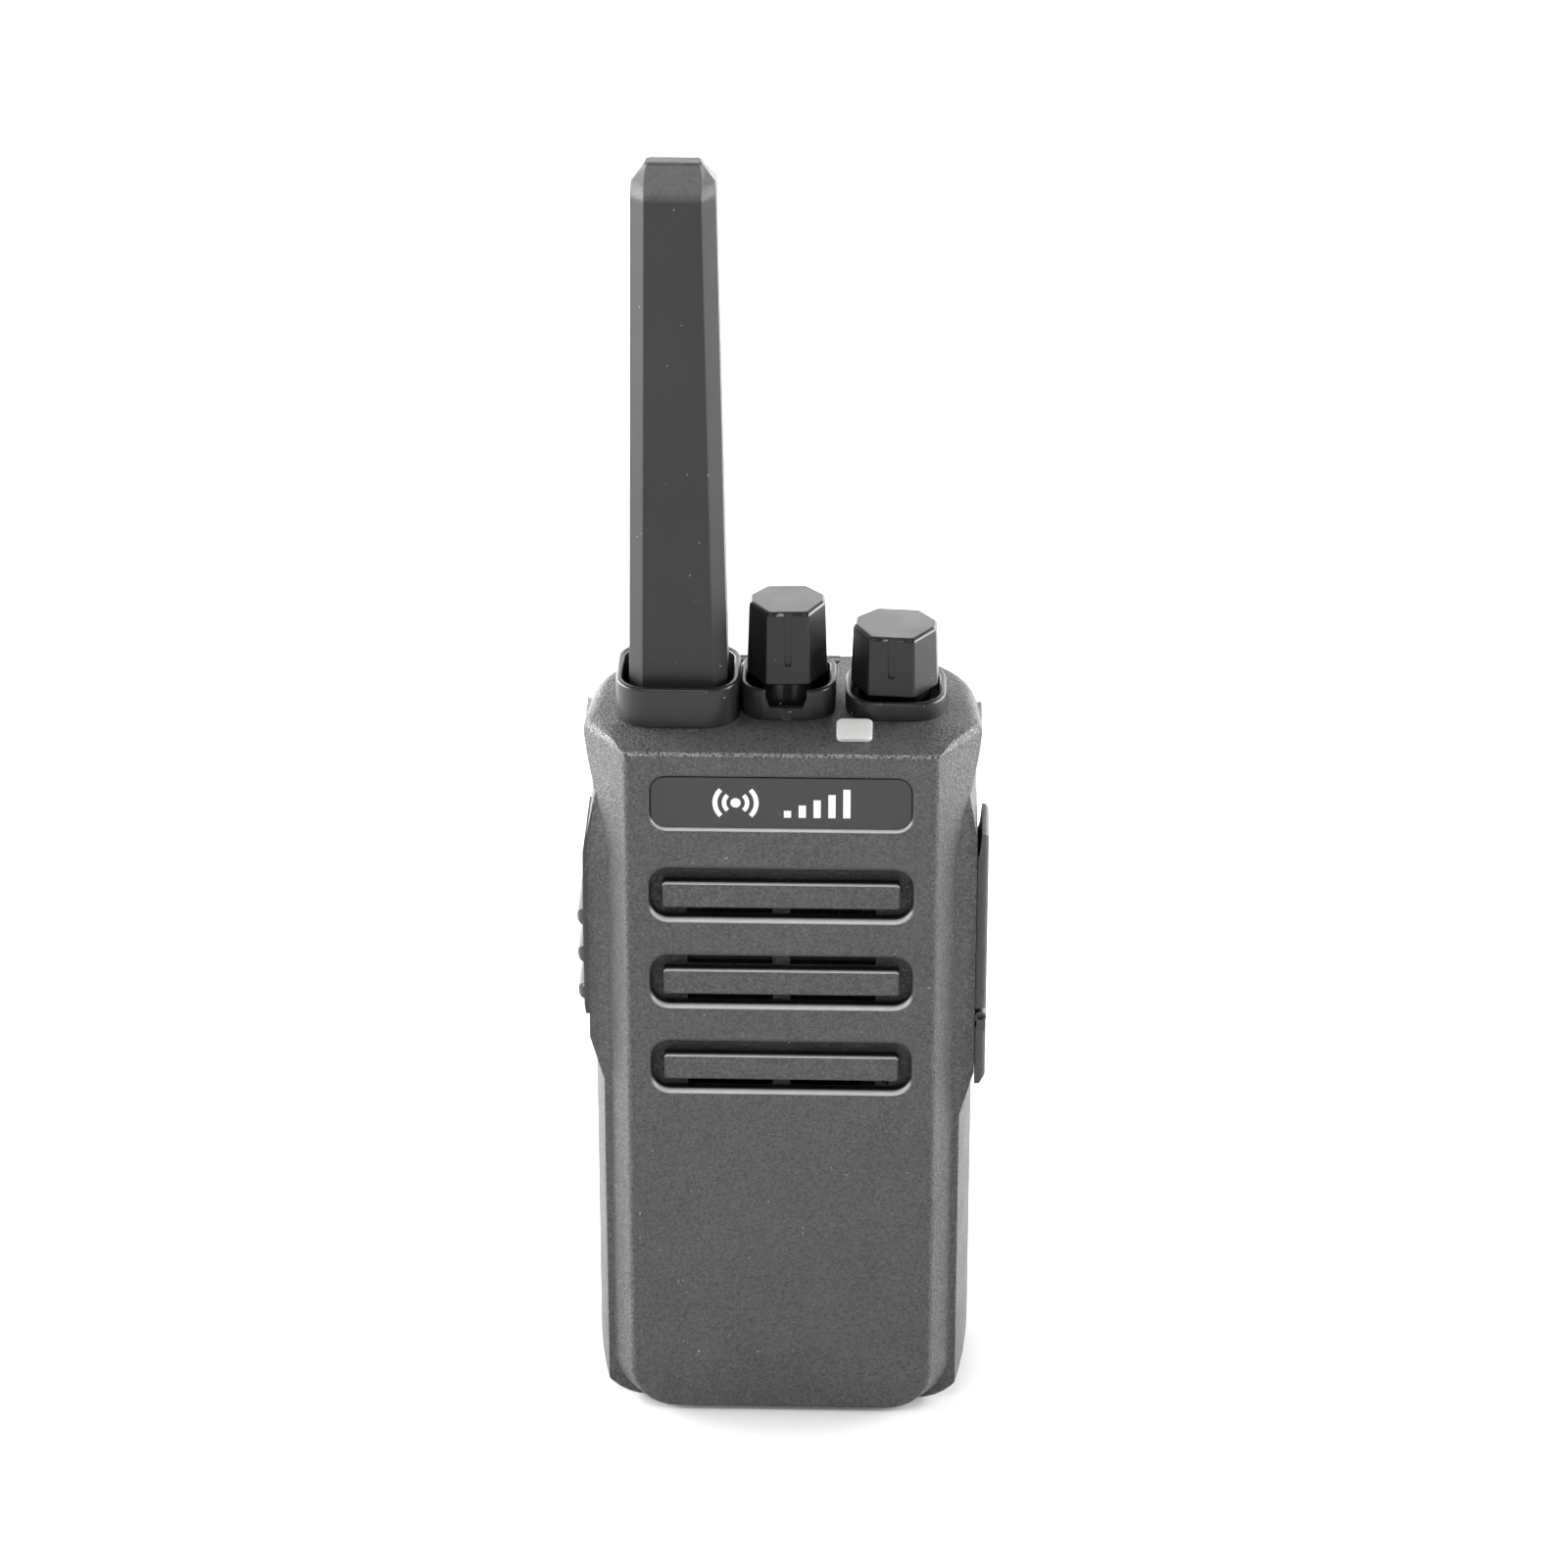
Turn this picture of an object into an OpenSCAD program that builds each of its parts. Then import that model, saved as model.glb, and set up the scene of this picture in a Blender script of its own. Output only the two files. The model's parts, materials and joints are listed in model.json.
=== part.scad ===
// Handheld two-way radio, standing on its base. Millimetres, +Z up, front facing -Y.
// The origin is on the floor, under the middle of the body.

/* [Body] */
// Height of the flat top deck above the floor
deck_z = 113; // [110:1:120]
// Full width of the lower body at its widest
body_w = 56.8; // [56:0.2:58]
// Full width across the shoulders
shoulder_w = 58.2; // [58:0.2:60]
// Full depth of the body without the belt clip
body_d = 33; // [33:1:36]
// Width of the flat front face
face_w = 45.3; // [44:0.1:46]
// Wall thickness of the housing
wall = 2.2; // [2:0.1:2.4]

/* [Grille] */
// Distance between neighbouring speaker slots
slot_pitch = 14.35; // [13:0.05:15]
// Full length of a speaker slot
slot_w = 40.2; // [36:0.2:41]
// Full height of a speaker slot
slot_h = 9.9; // [8:0.1:10.4]
// Depth of a speaker slot
slot_depth = 2; // [1.5:0.1:2.2]

/* [Antenna] */
// Height of the antenna tip above the floor
tip_z = 196.9; // [180:0.1:260]
// Width of the antenna where it enters its collar
antenna_w = 14.4; // [13:0.1:15]
// Depth of the antenna where it enters its collar
antenna_d = 11.2; // [10:0.1:12]

/* [Knobs] */
// Top of the channel knob above the floor
channel_top = 129.2; // [126:0.1:132]
// Top of the volume knob above the floor
volume_top = 125.3; // [122:0.1:127]
// Angle that the channel knob rests at
channel_rest = 2.5; // [-5:0.5:5]
// Angle that the volume knob rests at
volume_rest = -4.5; // [-5:0.5:5]

/* [Side controls] */
// How far the talk button travels
ptt_travel = 0.8; // [0.5:0.1:0.9]
// Distance between the two accessory sockets
jack_pitch = 11.4; // [11:0.1:12]

/* [Hidden] */
$fn = 48;

// Main planes
front_y = -body_d / 2;
back_y = body_d / 2;
side_x = body_w / 2;
shoulder_x = shoulder_w / 2;
face_x = face_w / 2;
chamfer_dx = 2.85;
chamfer_dy = 4.3;
block_x = face_x + chamfer_dx;        // front block, where its chamfer meets the ledge
ledge_y = front_y + chamfer_dy;       // front-facing ledge beside the front block
ledge_x = 26.5;
corner_r = 8;                         // lower corners of the body
face_corner_r = 6.6;                  // lower corners of the flat front face
front_lift = 0.5;                     // the front face's lower edge sits this far above the floor
face_edge_r = 1.2;                    // rounding between the front face and its chamfers
deck_edge_r = 0.9;                    // rounding of the deck's front edge
flare_z = 91;                         // where the front block starts to widen to the shoulders
part_y = 4;                           // back edge of the housing's side walls
part_z = 109.1;                       // the deck reaches over the chassis above this
deck_front_z = deck_z - 1.7;
slope_y = front_y + 7;                // the deck slopes down in front of this
deck_turn = 90 - atan2(deck_z - deck_front_z, slope_y - front_y);
pad_x = 28.6;
crown_r = 2.2;                        // rounding of the deck's edge
inner_x = 24;
gap = 0.1;

// Top controls
channel_at = [0.5, -0.6];
volume_at = [16.2, -0.2];
antenna_at = [-15.2, -2.2];
antenna_lean = 0.2;                   // the tip leans this far outwards
collar_wall = 1;
rim_r = 0.4;                          // rounding of the collars' rims
antenna_rim = deck_z + 6;
channel_rim = deck_z + 4.7;
volume_rim = deck_z + 2.8;
shaft_r = 2;
bush_r = 3.2;
run = 0.06;                           // running clearance of shafts and pins

// Front
grille_z = 74.8;
bar_drop = 0.6;                       // the bars sit this much below the middle of their slots
bar_w = 34.8;
bar_h = 4;
inside_y = front_y + wall;            // inner face of the front wall
lip_r = 0.9;                          // rounding of the slots' edges
slot_drop = 0.35;                     // the slots' middles sit this much below the grille's pitch
plate_lip = 0.7;                      // rounding of the nameplate recess's edge
grille_y = front_y + slot_depth + 1.2; // inner face behind the slots
plate_z = 103.85;
plate_w = 38.4;
plate_h = 8.1;

// Side controls
ptt_z = [66, 95.7];
ptt_y = [-11.2, 1.6];
ptt_floor_x = pad_x - 1.6;
plunger_y = -5.6;
plunger_z = [73, 88];
switch_x = 22.6;
cover_y = [-11.2, -0.8];
cover_z = [67.6, 96.5];
base_z = [54.9, 64.4];
cover_x = [pad_x + gap, 30.3];
hinge_at = [29.5, 66.2];
hinge_r = 0.5;
knuckle_r = 0.85;
jack_y = -6;
jack_z = [77.6, 77.6 + jack_pitch];
jack_r = [1.8, 1.3];
jack_mouth_x = 26.4;

// Chassis and boards
plate_y0 = 1.5;
plate_y1 = part_y + gap;
head_z = 88.2;
head_y = 7.5;                         // back of the hollow in the chassis head
hook_x = 14;
board_y = -1.6;
board_t = 1.2;
screw_x = 21.4;
screw_z = [8, 54];
contact_z = 28;
speaker_r = 18;
mic_at = [15.5, 57];
strap_w = 15;
strap_y = 11.5;
strap_z = 106.5;

// Battery and clip
battery_y = plate_y1 + 0.06;
battery_z = 87.8;
split_y = 9.5;
edge_r = 1;                           // rounding of the battery's upper edge
tilt_at = [back_y - edge_r, battery_z - edge_r];
case_wall = 1.4;
latch_x = 8;
latch_z = [5.2, 13];
latch_travel = 2;
tongue_z = [6.5, 8];
clip_at = [21, 72];                   // y and z of the clip's pin
clip_pin_r = 1;
clip_w = 17;
clip_outer_y = 24.4;

function arc(cx, cy, rx, ry, a0, a1, n) =
    [for (i = [0:n]) let (a = a0 + (a1 - a0) * i / n) [cx + rx * cos(a), cy + ry * sin(a)]];
function both(half) =
    concat(half, [for (i = [len(half) - 1:-1:0]) [-half[i][0], half[i][1]]]);
function chamfer_y(x) = front_y + (x - face_x) * chamfer_dy / chamfer_dx;
function rounded(w, h, r, n = 6) = concat(
    arc(w / 2 - r, h / 2 - r, r, r, 0, 90, n), arc(-w / 2 + r, h / 2 - r, r, r, 90, 180, n),
    arc(-w / 2 + r, -h / 2 + r, r, r, 180, 270, n), arc(w / 2 - r, -h / 2 + r, r, r, 270, 360, n));
// Outline of points, given counterclockwise, with each corner rounded by r
function soft(points, r, n = 3) = let (count = len(points)) [for (i = [0:count - 1])
    let (b = points[i], u = unit(points[(i + count - 1) % count] - b), v = unit(points[(i + 1) % count] - b),
        h = acos(u * v) / 2, o = b + unit(u + v) * r / sin(h),
        from = b + u * r / tan(h) - o, to = b + v * r / tan(h) - o,
        a = atan2(from[1], from[0]), turn = (atan2(to[1], to[0]) - a + 540) % 360 - 180)
    for (k = [0:n]) o + r * [cos(a + turn * k / n), sin(a + turn * k / n)]];
function unit(v) = v / norm(v);
function smooth(s) = s * s * (3 - 2 * s);
function block_half(z) = block_x
    + (shoulder_x - block_x) * smooth(min(max((z - flare_z) / (deck_z - 1 - flare_z), 0), 1));
function flat_ring(points, z) = [for (p = points) [p[0], p[1], z]];
function side_curve(y) = side_x - (side_x - ledge_x) * pow((2 - y) / (2 - ledge_y), 2);

// Extrusion of a 2D shape in X and Z along Y, and of one in Y and Z along X
module prism_y(y0, y1) translate([0, y1, 0]) rotate([90, 0, 0]) linear_extrude(y1 - y0) children();
module prism_x(x0, x1) translate([x0, 0, 0]) rotate([90, 0, 90]) linear_extrude(x1 - x0) children();
module box(x, y, z) translate([x[0], y[0], z[0]]) cube([x[1] - x[0], y[1] - y[0], z[1] - z[0]]);
module rod_y(r, y0, y1) translate([0, y0, 0]) rotate([-90, 0, 0]) cylinder(r = r, h = y1 - y0);
module rod_x(r, x0, x1) translate([x0, 0, 0]) rotate([0, 90, 0]) cylinder(r = r, h = x1 - x0);
module hex_prism(af, h) cylinder(r = af / 2 / cos(30), h = h, $fn = 6);

// Solid through a stack of rings that all have the same number of points
module loft(rings, flat = true) {
    n = len(rings[0]);
    last = len(rings) - 1;
    walls = [for (i = [0:last - 1]) for (k = [0:n - 1]) for (half = [flat ? 0 : 1:flat ? 0 : 2])
        let (m = (k + 1) % n, a = i * n, b = a + n)
        half == 0 ? [a + k, b + k, b + m, a + m] : half == 1 ? [a + k, b + k, b + m] : [a + k, b + m, a + m]];
    polyhedron([for (r = rings) for (p = r) p],
        concat(walls, [[for (k = [0:n - 1]) k], [for (k = [n - 1:-1:0]) last * n + k]]), convexity = 10);
}
// Cutter for a rounded opening in the front face, its edge rounded over by lip
module front_opening(z, w, h, r, depth, lip, steps = 5) {
    prism_y(front_y - 1, front_y + depth) translate([0, z])
        polygon(rounded(w - 2 * lip, h - 2 * lip, r - lip));
    translate([0, front_y, z]) rotate([90, 0, 0]) translate([0, 0, -lip]) loft(concat(
        [for (i = [0:steps]) let (a = 90 * i / steps, out = lip * (1 - cos(a)))
            flat_ring(rounded(w - 2 * lip + 2 * out, h - 2 * lip + 2 * out, r - lip + out), lip * sin(a))],
        [flat_ring(rounded(w + 0.02, h + 0.02, r + 0.01), lip + 1)]));
}

// Wire of radius r wound round +Z at radius ring, from z 0 to rise
module spring_wire(ring, r, rise, turns, sides = 6, steps = 12) {
    count = ceil(turns * steps);
    rings = [for (i = [0:count]) let (a = 360 * turns * i / count, z = r + (rise - 2 * r) * i / count)
        [for (k = [0:sides - 1]) let (b = 360 * k / sides)
            [(ring + r * cos(b)) * cos(a), (ring + r * cos(b)) * sin(a), z + r * sin(b)]]];
    points = [for (ring_points = rings) for (p = ring_points) p];
    walls = [for (i = [0:count - 1]) for (k = [0:sides - 1]) for (half = [0, 1])
        let (n = (k + 1) % sides, a = i * sides, b = a + sides)
        half == 0 ? [a + k, b + k, b + n] : [a + k, b + n, a + n]];
    first = [for (k = [0:sides - 1]) k];
    last = [for (k = [sides - 1:-1:0]) count * sides + k];
    polyhedron(points, concat(walls, [first, last]), convexity = 10);
}

// ---- Outer shape of the body ----
// Front-view outline of half-width x, its lower edge at z and its lower corners of radius r
function front_ring(y, x, z, r) = [for (p = concat(arc(x - r, z + r, r, r, 360, 270, 8),
    arc(r - x, z + r, r, r, 270, 180, 8), [[-x, 130], [x, 130]])) [p[0], y, p[1]]];
// The front block's chamfer runs on round its two lower corners, and its edge with the face is rounded
module front_block() intersection() {
    turn = atan2(chamfer_dy, chamfer_dx);
    back = face_edge_r * tan(turn / 2);
    loft(concat([front_ring(front_y - 1, face_x - back, front_lift + 0.75, face_corner_r - back)],
        [for (i = [0:4]) let (a = turn * i / 4, out = face_edge_r * sin(a) - back)
            front_ring(front_y + face_edge_r * (1 - cos(a)), face_x + out,
                front_lift + 0.75 * (1 - sin(22.5 * i)), face_corner_r + out)],
        [front_ring(chamfer_y(shoulder_x), shoulder_x, -1.5, 9), front_ring(part_y, shoulder_x, -1.5, 9)]));
    prism_y(front_y, part_y) polygon(both(concat([[block_x - corner_r, 0]],
        arc(block_x - corner_r, corner_r, corner_r, corner_r, -90, 0, 8),
        [for (z = [flare_z:1.25:deck_z - 1]) [block_half(z), z]],
        [[shoulder_x, deck_z + 1]])));
}
module rear_block() intersection() {
    linear_extrude(deck_z) polygon(both(concat(
        [for (i = [0:5]) let (y = ledge_y + (2 - ledge_y) * i / 5) [side_curve(y), y]],
        arc(15, 1.5, side_x - 15, back_y - 1.5, 8, 90, 10))));
    prism_y(ledge_y, back_y) polygon(both(concat(
        arc(side_x - corner_r, corner_r, corner_r, corner_r, -90, 0, 8), [[side_x, deck_z]])));
}
module pad(low_z) prism_y(ledge_y, part_y)
    polygon([[24, low_z], [26.6, low_z], [pad_x, low_z + 7], [pad_x, 96], [27.2, 103], [24, 103]]);
// The ledge beside the front block falls back with the flare of the block's chamfer
module behind_ledge() prism_x(-40, 40) polygon(concat(
    [[back_y + 1, -1], [ledge_y - 1, -1], [ledge_y - 1, 60]],
    [for (z = [flare_z:1.25:deck_z - 1]) [chamfer_y(block_half(z)), z]],
    [[chamfer_y(shoulder_x), deck_z + 1], [back_y + 1, deck_z + 1]]));
module deck_crown() {
    box([-40, 40], [-20, 20], [-1, deck_z - crown_r]);
    hull() for (a = [0:15:90]) translate([0, 0, deck_z - crown_r * (1 - sin(a)) - 0.001])
        linear_extrude(0.001) offset(delta = -crown_r * (1 - cos(a)))
        polygon(both(concat([[face_x, front_y], [shoulder_x, chamfer_y(shoulder_x)], [shoulder_x, -4],
            [side_x, 1.5]], arc(15, 1.5, side_x - 15, back_y - 1.5, 8, 90, 10))));
}
module body_solid() intersection() {
    union() {
        front_block();
        intersection() {
            union() {
                rear_block();
                pad(50.3);
                mirror([1, 0, 0]) pad(55.6);
            }
            behind_ledge();
        }
    }
    prism_x(-40, 40) polygon(concat([[front_y, 0], [back_y, 0], [back_y, deck_z], [slope_y, deck_z]],
        arc(front_y + deck_edge_r, deck_front_z - deck_edge_r * tan(deck_turn / 2), deck_edge_r, deck_edge_r,
            180 - deck_turn, 180, 6)));
    deck_crown();
}

// ---- Housing ----
module slot_cut(z) front_opening(z - slot_drop, slot_w, slot_h, 3.6, slot_depth, lip_r);
module slot_bar(z) translate([0, front_y + slot_depth + 0.5, z - bar_drop]) rotate([90, 0, 0])
    loft([for (r = [[0, 0], [slot_depth, 0], [slot_depth + 0.15, 0.05], [slot_depth + 0.25, 0.15],
        [slot_depth + 0.3, 0.3]]) flat_ring(rounded(bar_w - 2 * r[1], bar_h - 2 * r[1], 0.5 - r[1], 2), r[0])]);
module sound_slits(z, up) for (s = [-1, 1])
    translate([s * 7.6 - 6.3, front_y + slot_depth - 0.1, z + (up ? 1.7 : -4.3)]) cube([12.6, 3, up ? 2 : 1.6]);
module housing_cavity() {
    linear_extrude(deck_z - wall) polygon(both([[face_x - 1.4, inside_y], [inner_x, -9.5],
        [25.4, -4], [26.2, 0], [26.2, part_y + 1]]));
}
module boss(z) for (s = [-1, 1]) translate([s * screw_x, 0, z]) rod_y(2.4, inside_y + 0.5, plate_y0 - gap);
module front_housing() color([0.07, 0.07, 0.075]) difference() {
    union() {
        difference() {
            intersection() {
                body_solid();
                union() {
                    box([-40, 40], [-20, part_y], [0, deck_z]);
                    box([-40, 40], [-20, 20], [part_z, deck_z]);
                }
            }
            intersection() {
                housing_cavity();
                box([-40, 40], [-20, 20], [wall, deck_z]);
            }
            intersection() {
                linear_extrude(deck_z - wall) polygon(both([[26.2, 0], [25.6, 4], [24, head_y - 0.5]]));
                box([-40, 40], [0, head_y], [part_z - 1, deck_z]);
            }
            for (i = [-1:1]) slot_cut(grille_z + i * slot_pitch);
        }
        box([-21, 21], [grille_y - 1.2, grille_y], [53.5, 96.5]);
        for (i = [-1:1]) slot_bar(grille_z + i * slot_pitch);
        boss(screw_z[0]);
        boss(screw_z[1]);
    }
    sound_slits(grille_z, true);
    for (i = [-1:1]) sound_slits(grille_z + i * slot_pitch, false);
    translate([mic_at[0], 0, mic_at[1]]) rod_y(0.6, front_y, inside_y + 2);
    front_opening(plate_z - 0.15, plate_w + 1, plate_h + 1.5, 3, 1, plate_lip);
    for (s = [-1, 1]) for (z = screw_z) translate([s * screw_x, 0, z]) rod_y(1, -7, plate_y0);
    // Deck openings
    translate([channel_at[0], channel_at[1], deck_z - 5]) cylinder(r = bush_r + 0.2, h = 6);
    translate([volume_at[0], volume_at[1], deck_z - 5]) cylinder(r = bush_r + 0.2, h = 6);
    translate([antenna_at[0], antenna_at[1], deck_z - 5]) cylinder(r = 3.4, h = 6);
    led_shape(0.1);
    // Talk button recess and plunger holes, accessory recess
    box([-40, -ptt_floor_x], [ptt_y[0] - 0.2, ptt_y[1] + 0.2], [ptt_z[0] - 0.3, ptt_z[1] + 0.3]);
    for (z = plunger_z) translate([0, plunger_y, z]) rod_x(1.3, -30, -inner_x + 1);
    box([jack_mouth_x + 0.1, 40], [jack_y - 4, jack_y + 4], [jack_z[0] - 5, jack_z[1] + 5]);
    for (z = jack_z) translate([0, jack_y, z]) rod_x(3.2, 20, 28);
    translate([0, jack_y, 60]) rod_x(0.9, 24.6, 30);
    strap_slot();
}
module strap_slot() translate([channel_at[0], (strap_y + back_y + 4) / 2, strap_z])
    linear_extrude(10) polygon(rounded(strap_w, back_y + 4 - strap_y, 1.5));
module nameplate() color([0.03, 0.03, 0.035]) prism_y(front_y + 0.4, front_y + 1)
    translate([0, plate_z - 0.15]) polygon(rounded(plate_w - 0.6, plate_h - 0.1, 2.1));
module led_shape(grow) translate([10.5, -10.6, deck_z - 0.4])
    rotate([13.6, 0, 0]) translate([0, 0, -2.6 + grow / 2])
    linear_extrude(3.3) polygon(rounded(5.2 + grow, 4.6 + grow, 1));
module led_lens() color([0.9, 0.9, 0.86]) led_shape(0);
module status_led() color([0.85, 0.8, 0.5]) box([9.2, 11.8], [-11.4, -8.8], [107.6, 108.8]);

// ---- Rear chassis ----
module rear_chassis() color([0.08, 0.08, 0.085]) difference() {
    union() {
        box([-25.4, 25.4], [plate_y0, plate_y1], [3.1, 108]);
        intersection() {
            body_solid();
            box([-40, 40], [plate_y1, 20], [head_z, part_z - gap]);
        }
    }
    // The head is hollow towards the front, and open above for the rotary controls
    box([-23, 23], [plate_y0 - 1, head_y], [head_z + 2.2, part_z - 2.3]);
    box([-25.5, 25.5], [plate_y0 - 1, head_y - 0.5], [100, part_z + 1]);
    for (s = [-1, 1]) hook(s, 0.4, plate_y1 - 0.01);
    for (s = [-1, 1]) for (z = screw_z) translate([s * screw_x, 0, z]) {
        rod_y(1.1, plate_y0 - 1, plate_y1 + 1);
        rod_y(2.1, plate_y1 - 1.3, plate_y1 + 1);
    }
    box([-8.1, 8.1], [plate_y0 - 1, plate_y1 + 1], [contact_z - 4.1, contact_z + 4.1]);
    box([-3.3, 3.3], [plate_y0 - 1, plate_y1 + 1], [tongue_z[0] - 0.5, tongue_z[1] + latch_travel + 0.5]);
    strap_slot();
    prism_y(2.2, 3.2) difference() {
        translate([-30, 0]) square([60, 99.6]);
        translate([0, 51.1]) square([50.2, 95], center = true);
    }
}
module hook(s, grow, y0) box([s * hook_x - 3 - grow, s * hook_x + 3 + grow],
    [y0, battery_y + 1.6 + grow], [battery_z - 1, battery_z + 1.4 + grow]);
module chassis_seal() color([0.2, 0.2, 0.21]) prism_y(2.2, 3.2) difference() {
    translate([0, 51.1]) polygon(rounded(52, 96.8, 1));
    translate([0, 51.1]) square([50.3, 95.1], center = true);
}
module chassis_screws() color([0.6, 0.6, 0.6])
    for (s = [-1, 1]) for (z = screw_z) translate([s * screw_x, 0, z]) difference() {
        union() {
            rod_y(1, -6.8, plate_y1 - 1.3);
            rod_y(1.9, plate_y1 - 1.3, plate_y1 - 0.2);
        }
        translate([0, plate_y1 - 0.9, 0]) cross_recess(0.9);
    }
module cross_recess(size) for (a = [0, 90]) rotate([0, a, 0])
    translate([-size, 0, -0.2]) cube([2 * size, 1.5, 0.4]);
module contact_block() color([0.12, 0.12, 0.12]) difference() {
    box([-8, 8], [board_y + board_t, plate_y1 - 0.3], [contact_z - 4, contact_z + 4]);
    for (i = [-1:1]) box([5 * i - 1.1, 5 * i + 1.1], [2.8, 5], [contact_z - 3.2, contact_z + 3.2]);
}
module contact_springs() color([0.83, 0.66, 0.3])
    for (i = [-1:1]) prism_x(5 * i - 0.9, 5 * i + 0.9) polygon(concat([[2.8, contact_z - 3]],
        arc(2.8, contact_z, 1.3, 3, -80, 80, 8), [[2.8, contact_z + 3]]));
module strap_bar() color([0.55, 0.55, 0.57]) translate([0, back_y - 0.8, deck_z - 1.2])
    rod_x(0.8, channel_at[0] - strap_w / 2, channel_at[0] + strap_w / 2);

// ---- Collars on the deck ----
module collar(at, w, d, r, rim) translate([at[0], at[1], deck_z]) difference() {
    edge = [for (a = [0:22.5:90]) [rim - deck_z - rim_r * (1 - sin(a)), rim_r * (1 - cos(a))]];
    loft([for (p = concat([[0, 0]], edge))
        flat_ring(rounded(w - 2 * p[1], d - 2 * p[1], r - p[1]), p[0])]);
    loft([for (p = concat([[-1, 0]], edge, [[rim - deck_z + 1, rim_r]])) let (in = collar_wall - p[1])
        flat_ring(rounded(w - 2 * in, d - 2 * in, r - in), p[0])]);
}
// Small raised mark on the front of a collar
module index_mark(x, y, z) translate([x, y, z]) rotate([90, 0, 0]) linear_extrude(0.5)
    polygon([[-0.8, 0], [0.8, 0], [0.5, 0.45], [-0.5, 0.45]]);
module antenna_collar() color([0.04, 0.04, 0.045])
    collar([-15.35, -2.1], 18, 16.8, 5, antenna_rim);
module channel_collar() color([0.04, 0.04, 0.045]) {
    difference() {
        collar([0.7, -0.8], 13.9, 14, 4.5, channel_rim);
        prism_y(-10, -5) polygon([[-1.9, deck_z + 2], [2.9, deck_z + 2], [3.5, deck_z + 3.5],
            [3.5, deck_z + 6], [-2.5, deck_z + 6], [-2.5, deck_z + 3.5]]);
    }
    for (z = [0, 1.5]) index_mark(channel_at[0], -7.6, deck_z + z);
}
module volume_collar() color([0.04, 0.04, 0.045]) difference() {
    union() {
        collar([16.4, -0.3], 14.7, 14.8, 4.8, volume_rim);
        index_mark(volume_at[0], -7.5, deck_z);
    }
    translate([0, 1, 0]) index_mark(volume_at[0], -7.5, volume_rim - 0.35);
}

// ---- Speaker, microphone and boards ----
module at_grille() translate([0, 0, grille_z]) children();
module speaker_mesh() color([0.1, 0.1, 0.1]) at_grille() rod_y(15.4, grille_y, grille_y + 0.2);
module speaker_gasket() color([0.15, 0.15, 0.15]) at_grille() difference() {
    rod_y(speaker_r, grille_y, grille_y + 0.6);
    rod_y(15.5, grille_y - 1, grille_y + 2);
}
module speaker_frame() color([0.5, 0.5, 0.52]) at_grille() difference() {
    union() {
        rod_y(speaker_r, grille_y + 0.6, grille_y + 3.8);
        rod_y(9, grille_y + 3.8, grille_y + 7.2);
    }
    rod_y(16.4, grille_y, grille_y + 2.8);
    rod_y(5, grille_y, grille_y + 4.6);
}
module speaker_cone() color([0.16, 0.15, 0.14]) at_grille() translate([0, grille_y + 2.7, 0])
    rotate([90, 0, 0]) rotate_extrude() polygon([[0, 0], [5, 0], [14, 1.5], [16.2, 1.2], [16.2, 1.5],
        [14, 1.9], [5.2, 0.5], [3.6, 1.1], [0, 1.3]]);
module mic_boot() color([0.12, 0.12, 0.12]) translate([mic_at[0], 0, mic_at[1]]) difference() {
    rod_y(3.6, grille_y, grille_y + 3.2);
    rod_y(2.6, grille_y + 0.8, grille_y + 4);
    rod_y(0.6, grille_y - 1, grille_y + 2);
}
module microphone() color([0.75, 0.75, 0.76])
    translate([mic_at[0], 0, mic_at[1]]) rod_y(2.6, grille_y + 0.8, grille_y + 3);
module main_board() color([0.05, 0.25, 0.12]) difference() {
    box([-18.8, 18.8], [board_y, board_y + board_t], [6, 98]);
    translate([0, 0, 12]) rod_y(1.4, -5, 5);
}
module shield_cans() color([0.75, 0.76, 0.78]) for (z = [14, 34]) difference() {
    box([-16, 10], [board_y - 2.4, board_y], [z, z + 17]);
    box([-15.8, 9.8], [board_y - 2.2, board_y + 1], [z + 0.2, z + 16.8]);
}
module board_chips() color([0.06, 0.06, 0.06]) {
    box([-9, -1], [board_y - 1.2, board_y], [18, 26]);
    box([-8, 0], [board_y - 1.2, board_y], [38, 46]);
    box([12.5, 17.5], [board_y - 1.6, board_y], [20, 30]);
    box([-16, -10], [board_y - 1.4, board_y], [86, 94]);
    box([-5, 5], [board_y - 2.4, board_y], [93.5, 97]);
}
module rotary_body(at) translate([at[0], at[1], 0]) difference() {
    union() {
        box([-4.8, 4.8], [-4.5, 4.5], [103.4, deck_z - wall - 0.1]);
        translate([0, 0, 103.4]) cylinder(r = bush_r, h = deck_z + 1.6 - 103.4);
    }
    translate([0, 0, 104.4]) cylinder(r = shaft_r + run, h = 20);
}
module channel_switch() color([0.25, 0.25, 0.27]) rotary_body(channel_at);
module volume_control() color([0.2, 0.32, 0.25]) rotary_body(volume_at);
module control_nuts() color([0.7, 0.7, 0.68]) for (at = [channel_at, volume_at])
    translate([at[0], at[1], deck_z]) difference() {
        hex_prism(7.6, 1.4);
        translate([0, 0, -1]) cylinder(r = bush_r, h = 4);
    }

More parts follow.
